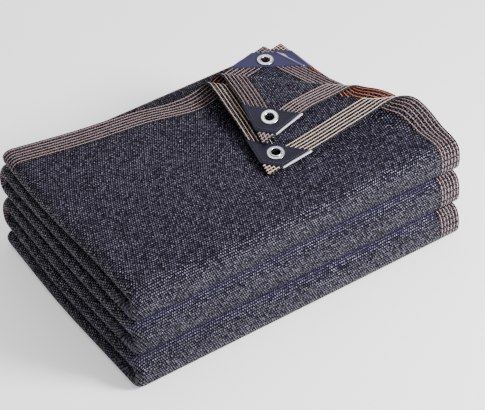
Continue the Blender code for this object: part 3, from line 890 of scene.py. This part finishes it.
class Stripes:
    """The raised stripe yarns of the borders, where they show."""

    DASH_RADIUS = 0.27 * MM
    FLOAT_RADIUS = 0.37 * MM

    def __init__(self, fold: Fold, border: BorderSizes, patch: PatchSizes, nodes: YarnNodes) -> None:
        """Takes the fold, the border's and patch's sizes and the node group that spins yarn."""
        self.fold = fold
        self.border = border
        self.patch = patch
        self.nodes = nodes

    def _float(self, ply: int, side: Side, across_edge: bool, line: float, run: Array) -> Array:
        """Points of a yarn that lies on one side of the cloth.

        Args:
            ply: one to four.
            side: the side of the knit.
            across_edge: true for lines along the back edge, false for lines along the right edge.
            line: distance from that edge.
            run: distances along the edge from the corner.
        """
        right, back = (run, np.full_like(run, line)) if across_edge else (np.full_like(run, line), run)
        points, normals = self.fold.frames(*self.fold.flat(ply, right, back))
        return points + side.value * normals * (Cloth.THICKNESS / 2 + 0.12 * MM)

    def solid(self, ply: int, side: Side, across_edge: bool, start: float, end: float) -> list[Array]:
        """Whole floats from start to end along an edge, broken where the corner's patch covers them."""
        b = self.border
        floats = []
        for k in range(b.lines):
            line = b.first + k * b.pitch
            for low, high in ((start, self.patch.tip - line), (max(start, self.patch.leg - line), end)):
                beyond_patch = low > self.patch.tip - line
                if high - low > 2 * MM and (beyond_patch or not across_edge):
                    run = np.linspace(low, high, max(3, int((high - low) / 0.004)))
                    floats.append(self._float(ply, side, across_edge, line, run))
        return floats

    def dashed(self, ply: int, side: Side, across_edge: bool, start: float, end: float) -> list[Array]:
        """Dashes from start to end along an edge, without those that the corner's patch covers."""
        b = self.border
        dashes = []
        for k in range(b.lines):
            line = b.first + k * b.pitch
            for at in np.arange(start, end, b.dash):
                run = at + np.linspace(0, b.dash * b.dash_share, 3)
                at_tip = run[-1] + line < self.patch.tip and not across_edge
                if at_tip or run[0] + line > self.patch.leg:
                    dashes.append(self._float(ply, side, across_edge, line, run))
        return dashes

    def build(self, materials: Materials) -> list[bpy.types.Object]:
        """Makes the yarn pieces of every ply whose border shows."""
        run, width = self.fold.run, self.fold.s.width
        face, back = Side.FACE, Side.REVERSE
        thin, full = self.DASH_RADIUS, self.FLOAT_RADIUS
        dashed, solid = self.dashed, self.solid
        spun = [
            ("stripe_dashes_upper",
             dashed(1, face, True, 0.0, width) + dashed(1, face, False, 0.0, run * 1.13),
             thin, materials.dash),
            # Painted light: the front flap's floats take the lighter cream copy of the yarn.
            ("stripe_floats_front_flap", solid(1, back, True, 0.0, 0.21) + solid(1, back, False, 0.0, 0.27),
             full, materials.painted_light_cream),
            ("stripe_dashes_rear_flap",
             dashed(2, face, True, 0.0, 0.21) + dashed(2, face, False, 0.0, 0.25), thin, materials.dash),
            ("stripe_floats_hump", solid(2, back, True, 0.05, 0.26) + solid(2, back, False, 0.05, 0.27),
             full, materials.orange),
            ("stripe_dashes_corner", dashed(3, face, True, 0.0, 0.22) + dashed(3, face, False, 0.0, 0.22),
             thin, materials.dash),
            ("stripe_floats_corner", solid(4, back, True, 0.06, 0.10) + solid(4, back, False, 0.06, 0.24),
             full, materials.orange),
            # Painted light: the lower corner's tip floats take the lighter cream copy of the yarn.
            ("stripe_floats_tip", solid(4, back, False, 0.0, 0.03), full, materials.painted_light_cream),
        ]
        return [self.nodes.make(name, paths, radius, mat) for name, paths, radius, mat in spun]


class Corner:
    """The flat end of one ply at its cloth corner, where a patch and an eyelet are set."""

    def __init__(self, fold: Fold, ply: int) -> None:
        """Finds the corner's plane and edge directions."""
        tip, on_right, on_back = fold.on_ply(ply, np.array([0, 0, 0.04]), np.array([0, 0.04, 0]))
        self.tip = Vector(tip)
        self.right = (Vector(on_right) - self.tip).normalized()
        self.back = (Vector(on_back) - self.tip).normalized()
        self.up = self.back.cross(self.right).normalized()
        if self.up.z < 0:
            self.up.negate()
        face_is_up = (ply in (1, 3)) != (ply in TURNED_OVER)
        self.face = self.up if face_is_up else -self.up
        self.skew = math.sin(self.right.angle(self.back))

    def at(self, along_right: float, along_back: float, above: float = 0.0) -> Vector:
        """A point by its distances from the tip along both edges."""
        return self.tip + self.right * along_right + self.back * along_back + self.up * above

    def eyelet_frame(self, setback: float) -> Matrix:
        """A matrix at the eyelet's centre, with Z out of the cloth's face side."""
        centre = self.at(setback / self.skew, setback / self.skew)
        y = self.face.cross(self.right).normalized()
        x = y.cross(self.face).normalized()
        return Matrix.Translation(centre) @ Matrix((x, y, self.face)).transposed().to_4x4()


class Patch:
    """A coated strip laid across a corner and folded round both cloth edges."""

    def __init__(self, label: str, corner: Corner, sizes: PatchSizes) -> None:
        """Takes the corner that it covers."""
        self.label = label
        self.corner = corner
        self.sizes = sizes

    def _ring(self, leg: float, half: float) -> Triple:
        """One loop of the sleeve at a distance from the tip, with how much painted fold highlight and
        painted light its points get.
        """
        out = 1.6 * MM / self.corner.skew
        a, b = self.corner.at(leg + out, -out), self.corner.at(-out, leg + out)
        across = (b - a).normalized()
        # Painted light: corner patches get the lighter colour, flap patches the painted shade.
        patch_lighting = 0.0 if self.label.endswith("flap") else 1.0
        points, fold_highlight, painted_light_share = [], [], []
        flat, bend = 26, 7
        for side in (1, -1):
            ends = (a, b) if side > 0 else (b, a)
            for k in range(flat):
                shrink = 0.012 + 0.976 * k / flat
                base = ends[0].lerp(ends[1], shrink)
                points.append(base + self.corner.up * side * half)
                # Painted highlight: the flat strip next to the right-edge fold fades into the pale fold
                # line.
                fold_highlight.append(max(0.0, 1 - (base - a).length / 0.0014))
                painted_light_share.append(patch_lighting)
            tip = ends[0].lerp(ends[1], 0.988)
            reach = (ends[1] - tip).length
            for k in range(bend):
                turn = math.pi * (k / bend)
                round_edge = across * reach * math.sin(turn) + self.corner.up * half * math.cos(turn)
                points.append(tip + side * round_edge)
                # Painted highlight on the bend at the right edge only.
                fold_highlight.append(0.0 if side > 0 else 1.0)
                painted_light_share.append(patch_lighting)
        return np.array([p[:] for p in points]), np.array(fold_highlight), np.array(painted_light_share)

    def build(self, materials: Materials) -> bpy.types.Object:
        """Makes the sleeve, its wall and its eyelet hole."""
        s = self.sizes
        half = Cloth.THICKNESS / 2 + 0.75 * MM
        rings = [self._ring(leg, half) for leg in np.linspace(s.tip, s.leg, 15)]
        count = len(rings[0][0])
        points = np.concatenate([ring[0] for ring in rings])
        fold_highlight = np.concatenate([ring[1] for ring in rings])
        painted_light_share = np.concatenate([ring[2] for ring in rings])
        ripple = 0.22 * MM * np.sin(points @ np.array([210.0, 150.0, 60.0])) * (1 - fold_highlight)
        points = points + ripple[:, None] * np.array(self.corner.up[:])[None, :]
        faces = []
        for i in range(len(rings) - 1):
            for j in range(count):
                k = (j + 1) % count
                faces.append((i * count + j, i * count + k, (i + 1) * count + k, (i + 1) * count + j))
        mesh = bpy.data.meshes.new("patch_" + self.label)
        mesh.from_pydata(points.tolist(), [], faces)
        fold_highlight_attr = mesh.attributes.new("fold", "FLOAT", "POINT")
        fold_highlight_attr.data.foreach_set("value", fold_highlight.astype(np.float32))
        painted_light_layer = mesh.attributes.new("painted_light_share", "FLOAT", "POINT")
        painted_light_layer.data.foreach_set("value", painted_light_share.astype(np.float32))
        mesh.polygons.foreach_set("use_smooth", np.ones(len(faces), bool))
        mesh.materials.append(materials.vinyl)
        obj = link("corner_patch_" + self.label, mesh)
        self._face_out(mesh)
        wall = obj.modifiers.new("wall", "SOLIDIFY")
        wall.thickness = s.wall
        wall.offset = 1.0
        bpy.ops.mesh.primitive_cylinder_add(vertices=48, radius=s.bore + 0.9 * MM, depth=0.03)
        cutter = bpy.context.object
        cutter.matrix_world = self.corner.eyelet_frame(s.setback)
        hole = obj.modifiers.new("eyelet hole", "BOOLEAN")
        hole.operation = "DIFFERENCE"
        hole.solver = "EXACT"
        hole.object = cutter
        bpy.context.view_layer.update()
        settled(obj)
        bpy.data.objects.remove(cutter)
        return obj

    def _face_out(self, mesh: bpy.types.Mesh) -> None:
        """Turns the sleeve's faces outwards."""
        middle = sum((v.co for v in mesh.vertices), Vector()) / len(mesh.vertices)
        face = mesh.polygons[0]
        if face.normal.dot(face.center - middle) < 0:
            mesh.flip_normals()

    def seams(self) -> list[Array]:
        """Sewing lines round the patch, on both of its sides."""
        s = self.sizes
        gap = 3.0 * MM
        near, far = s.tip + gap, s.leg - gap
        lines = []
        for side in (1, -1):
            above = side * (Cloth.THICKNESS / 2 + 0.75 * MM + s.wall + 0.05 * MM)
            loop = [(near, gap), (far - gap, gap), (gap, far - gap), (gap, near), (near, gap)]
            points = []
            for (a0, b0), (a1, b1) in zip(loop[:-1], loop[1:]):
                for t in np.linspace(0, 1, 12)[:-1]:
                    points.append(self.corner.at(a0 + (a1 - a0) * t, b0 + (b1 - b0) * t, above)[:])
            points.append(points[0])
            lines.append(np.array(points))
        return lines


class Eyelet:
    """A pressed eyelet: flange and barrel in one, its end rolled over a loose washer."""

    STEPS = 72

    def __init__(self, label: str, corner: Corner, sizes: PatchSizes) -> None:
        """Takes the corner that it is set in."""
        self.label = label
        self.corner = corner
        self.sizes = sizes

    def _turned(self, name: str, profile: Sequence[tuple[float, float]],
                mat: bpy.types.Material) -> bpy.types.Object:
        """A ring turned from a closed profile of (radius, height) points."""
        mesh = bpy.data.meshes.new(name)
        count = len(profile)
        loop = [(i, (i + 1) % count) for i in range(count)]
        mesh.from_pydata([(r, 0.0, h) for r, h in profile], loop, [])
        mesh.materials.append(mat)
        obj = link(name, mesh)
        screw = obj.modifiers.new("turning", "SCREW")
        screw.angle = math.tau
        screw.steps = screw.render_steps = self.STEPS
        screw.use_merge_vertices = True
        screw.merge_threshold = 1e-5
        screw.use_smooth_shade = True
        settled(obj)
        obj.data.transform(self.corner.eyelet_frame(self.sizes.setback))
        obj.data.set_sharp_from_angle(angle=math.radians(50))
        return obj

    def build(self, materials: Materials) -> list[bpy.types.Object]:
        """Makes the eyelet and its washer."""
        s = self.sizes
        seat = Cloth.THICKNESS / 2 + 0.75 * MM + s.wall + 0.1 * MM
        wall = 0.6 * MM
        dome = [(s.flange * 0.5 + s.bore * 0.5 + (s.flange - s.bore) * 0.5 * math.cos(a),
                 seat + 0.25 * MM + 1.15 * MM * math.sin(a)) for a in np.linspace(0, math.pi, 13)]
        under = -seat - 0.7 * MM
        roll_middle, roll_half = (s.bore + s.lip) / 2, (s.lip - s.bore) / 2
        roll = [(roll_middle - roll_half * math.cos(a), under - 0.2 * MM - 1.25 * MM * math.sin(a))
                for a in np.linspace(0, math.pi, 11)]
        inner = [(s.bore + wall, under), (s.bore + wall, seat), (s.flange - 0.4 * MM, seat)]
        body = dome + roll + [(s.lip - 0.3 * MM, under)] + inner
        low, rise = -seat - 0.62 * MM, s.bore + 1.0 * MM
        ring = [(s.flange, -seat - 0.25 * MM), (s.flange - 0.5 * MM, low),
                (s.lip + 0.6 * MM, -seat - 0.75 * MM), (s.lip, low), (rise, low), (rise, -seat),
                (s.flange - 0.3 * MM, -seat)]
        return [self._turned("eyelet_ring_" + self.label, body[::-1], materials.metal),
                self._turned("washer_ring_" + self.label, ring[::-1], materials.washer)]


class Studio:
    """Pale floor, soft lights and the camera."""

    def build(self) -> None:
        """Makes them all."""
        self._floor()
        self._world()
        self._lamp("key", (0.95, -1.41, 1.40), 0.7, 110.0)
        self._lamp("overhead", (0.1, 0.5, 2.6), 2.0, 30.0)
        self._lamp("rim", (0.9, 1.9, 1.5), 1.6, 10.0)
        self._camera()

    @staticmethod
    def _floor() -> None:
        """A white sweep of paper."""
        bpy.ops.mesh.primitive_plane_add(size=30.0, location=(0, 0, -0.1 * MM))
        floor = bpy.context.object
        floor.name = "paper_floor"
        mat, g, shader = new_material("white paper", Finish("#f6f6f7", 0.9))
        coords = g.node("ShaderNodeTexCoord")
        cloud = g.noise(coords.outputs["Object"], 3.0)
        g.feed(shader.inputs["Base Color"], g.mix(cloud, "#f4f4f5", "#f8f8f9"))
        shader.inputs["Emission Color"].default_value = (1.0, 1.0, 1.0, 1.0)
        shader.inputs["Emission Strength"].default_value = 0.5
        floor.data.materials.append(mat)

    @staticmethod
    def _world() -> None:
        """Even white light from all round."""
        world = bpy.data.worlds.new("studio")
        world.use_nodes = True
        world.node_tree.nodes["Background"].inputs["Color"].default_value = (1.0, 1.0, 1.0, 1.0)
        world.node_tree.nodes["Background"].inputs["Strength"].default_value = 0.38
        bpy.context.scene.world = world

    @staticmethod
    def _lamp(name: str, place: tuple[float, float, float], size: float, power: float) -> None:
        """A square soft light aimed at the bundle."""
        light = bpy.data.lights.new(name, "AREA")
        light.shape = "SQUARE"
        light.size = size
        light.energy = power
        obj = bpy.data.objects.new(name, light)
        obj.location = place
        obj.rotation_euler = (Vector((0, 0, 0.1)) - Vector(place)).to_track_quat("-Z", "Y").to_euler()
        bpy.context.scene.collection.objects.link(obj)

    @staticmethod
    def _camera() -> None:
        """A long lens from the front left, above."""
        turn, drop = math.radians(35.2), math.radians(41.5)
        cam = bpy.data.cameras.new("portrait")
        cam.sensor_width = 36.0
        cam.lens = 2297 / 485 * 36.0
        obj = bpy.data.objects.new("portrait", cam)
        obj.location = (-1.067 - FoldSizes.middle[0], -1.742 - FoldSizes.middle[1], 2.120)
        ahead = Vector((math.sin(turn) * math.cos(drop), math.cos(turn) * math.cos(drop), -math.sin(drop)))
        obj.rotation_euler = ahead.to_track_quat("-Z", "Y").to_euler()
        bpy.context.scene.collection.objects.link(obj)
        bpy.context.scene.camera = obj


def declare(piece: bpy.types.Object, slot: str, *nodes: str) -> bpy.types.Object:
    """Puts a piece on the part's one body, in place of solids."""
    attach(piece, "root")
    if nodes:
        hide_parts(*nodes)
    return piece


def main() -> None:
    """Builds the dressed part and its studio."""
    logging.basicConfig(level=logging.INFO)
    fold = Fold(FoldSizes())
    border, sizes = BorderSizes(), PatchSizes()
    materials = Materials(border, fold)
    cloth = declare(Cloth(fold).build(materials, sizes), "knit", "folded_cloth")
    log.info("cloth: %d faces", len(cloth.data.polygons))
    stripes = Stripes(fold, border, sizes, YarnNodes())
    extras = [declare(piece, "knit") for piece in stripes.build(materials)]
    sewing = StitchNodes()
    seams = []
    for label, ply in CORNERS.items():
        corner = Corner(fold, ply)
        patch = Patch(label, corner, sizes)
        seams += patch.seams()
        extras.append(declare(patch.build(materials), "vinyl", "patch_" + label))
        ring, washer = Eyelet(label, corner, sizes).build(materials)
        extras.append(declare(ring, "eyelet_metal", "eyelet_" + label))
        extras.append(declare(washer, "eyelet_metal", "washer_" + label))
    extras.append(declare(sewing.make("patch_stitches", seams, 3.2 * MM, materials.thread), "knit"))
    Studio().build()
    log.info("pieces: %d", 1 + len(extras))


if __name__ == "__main__":
    main()
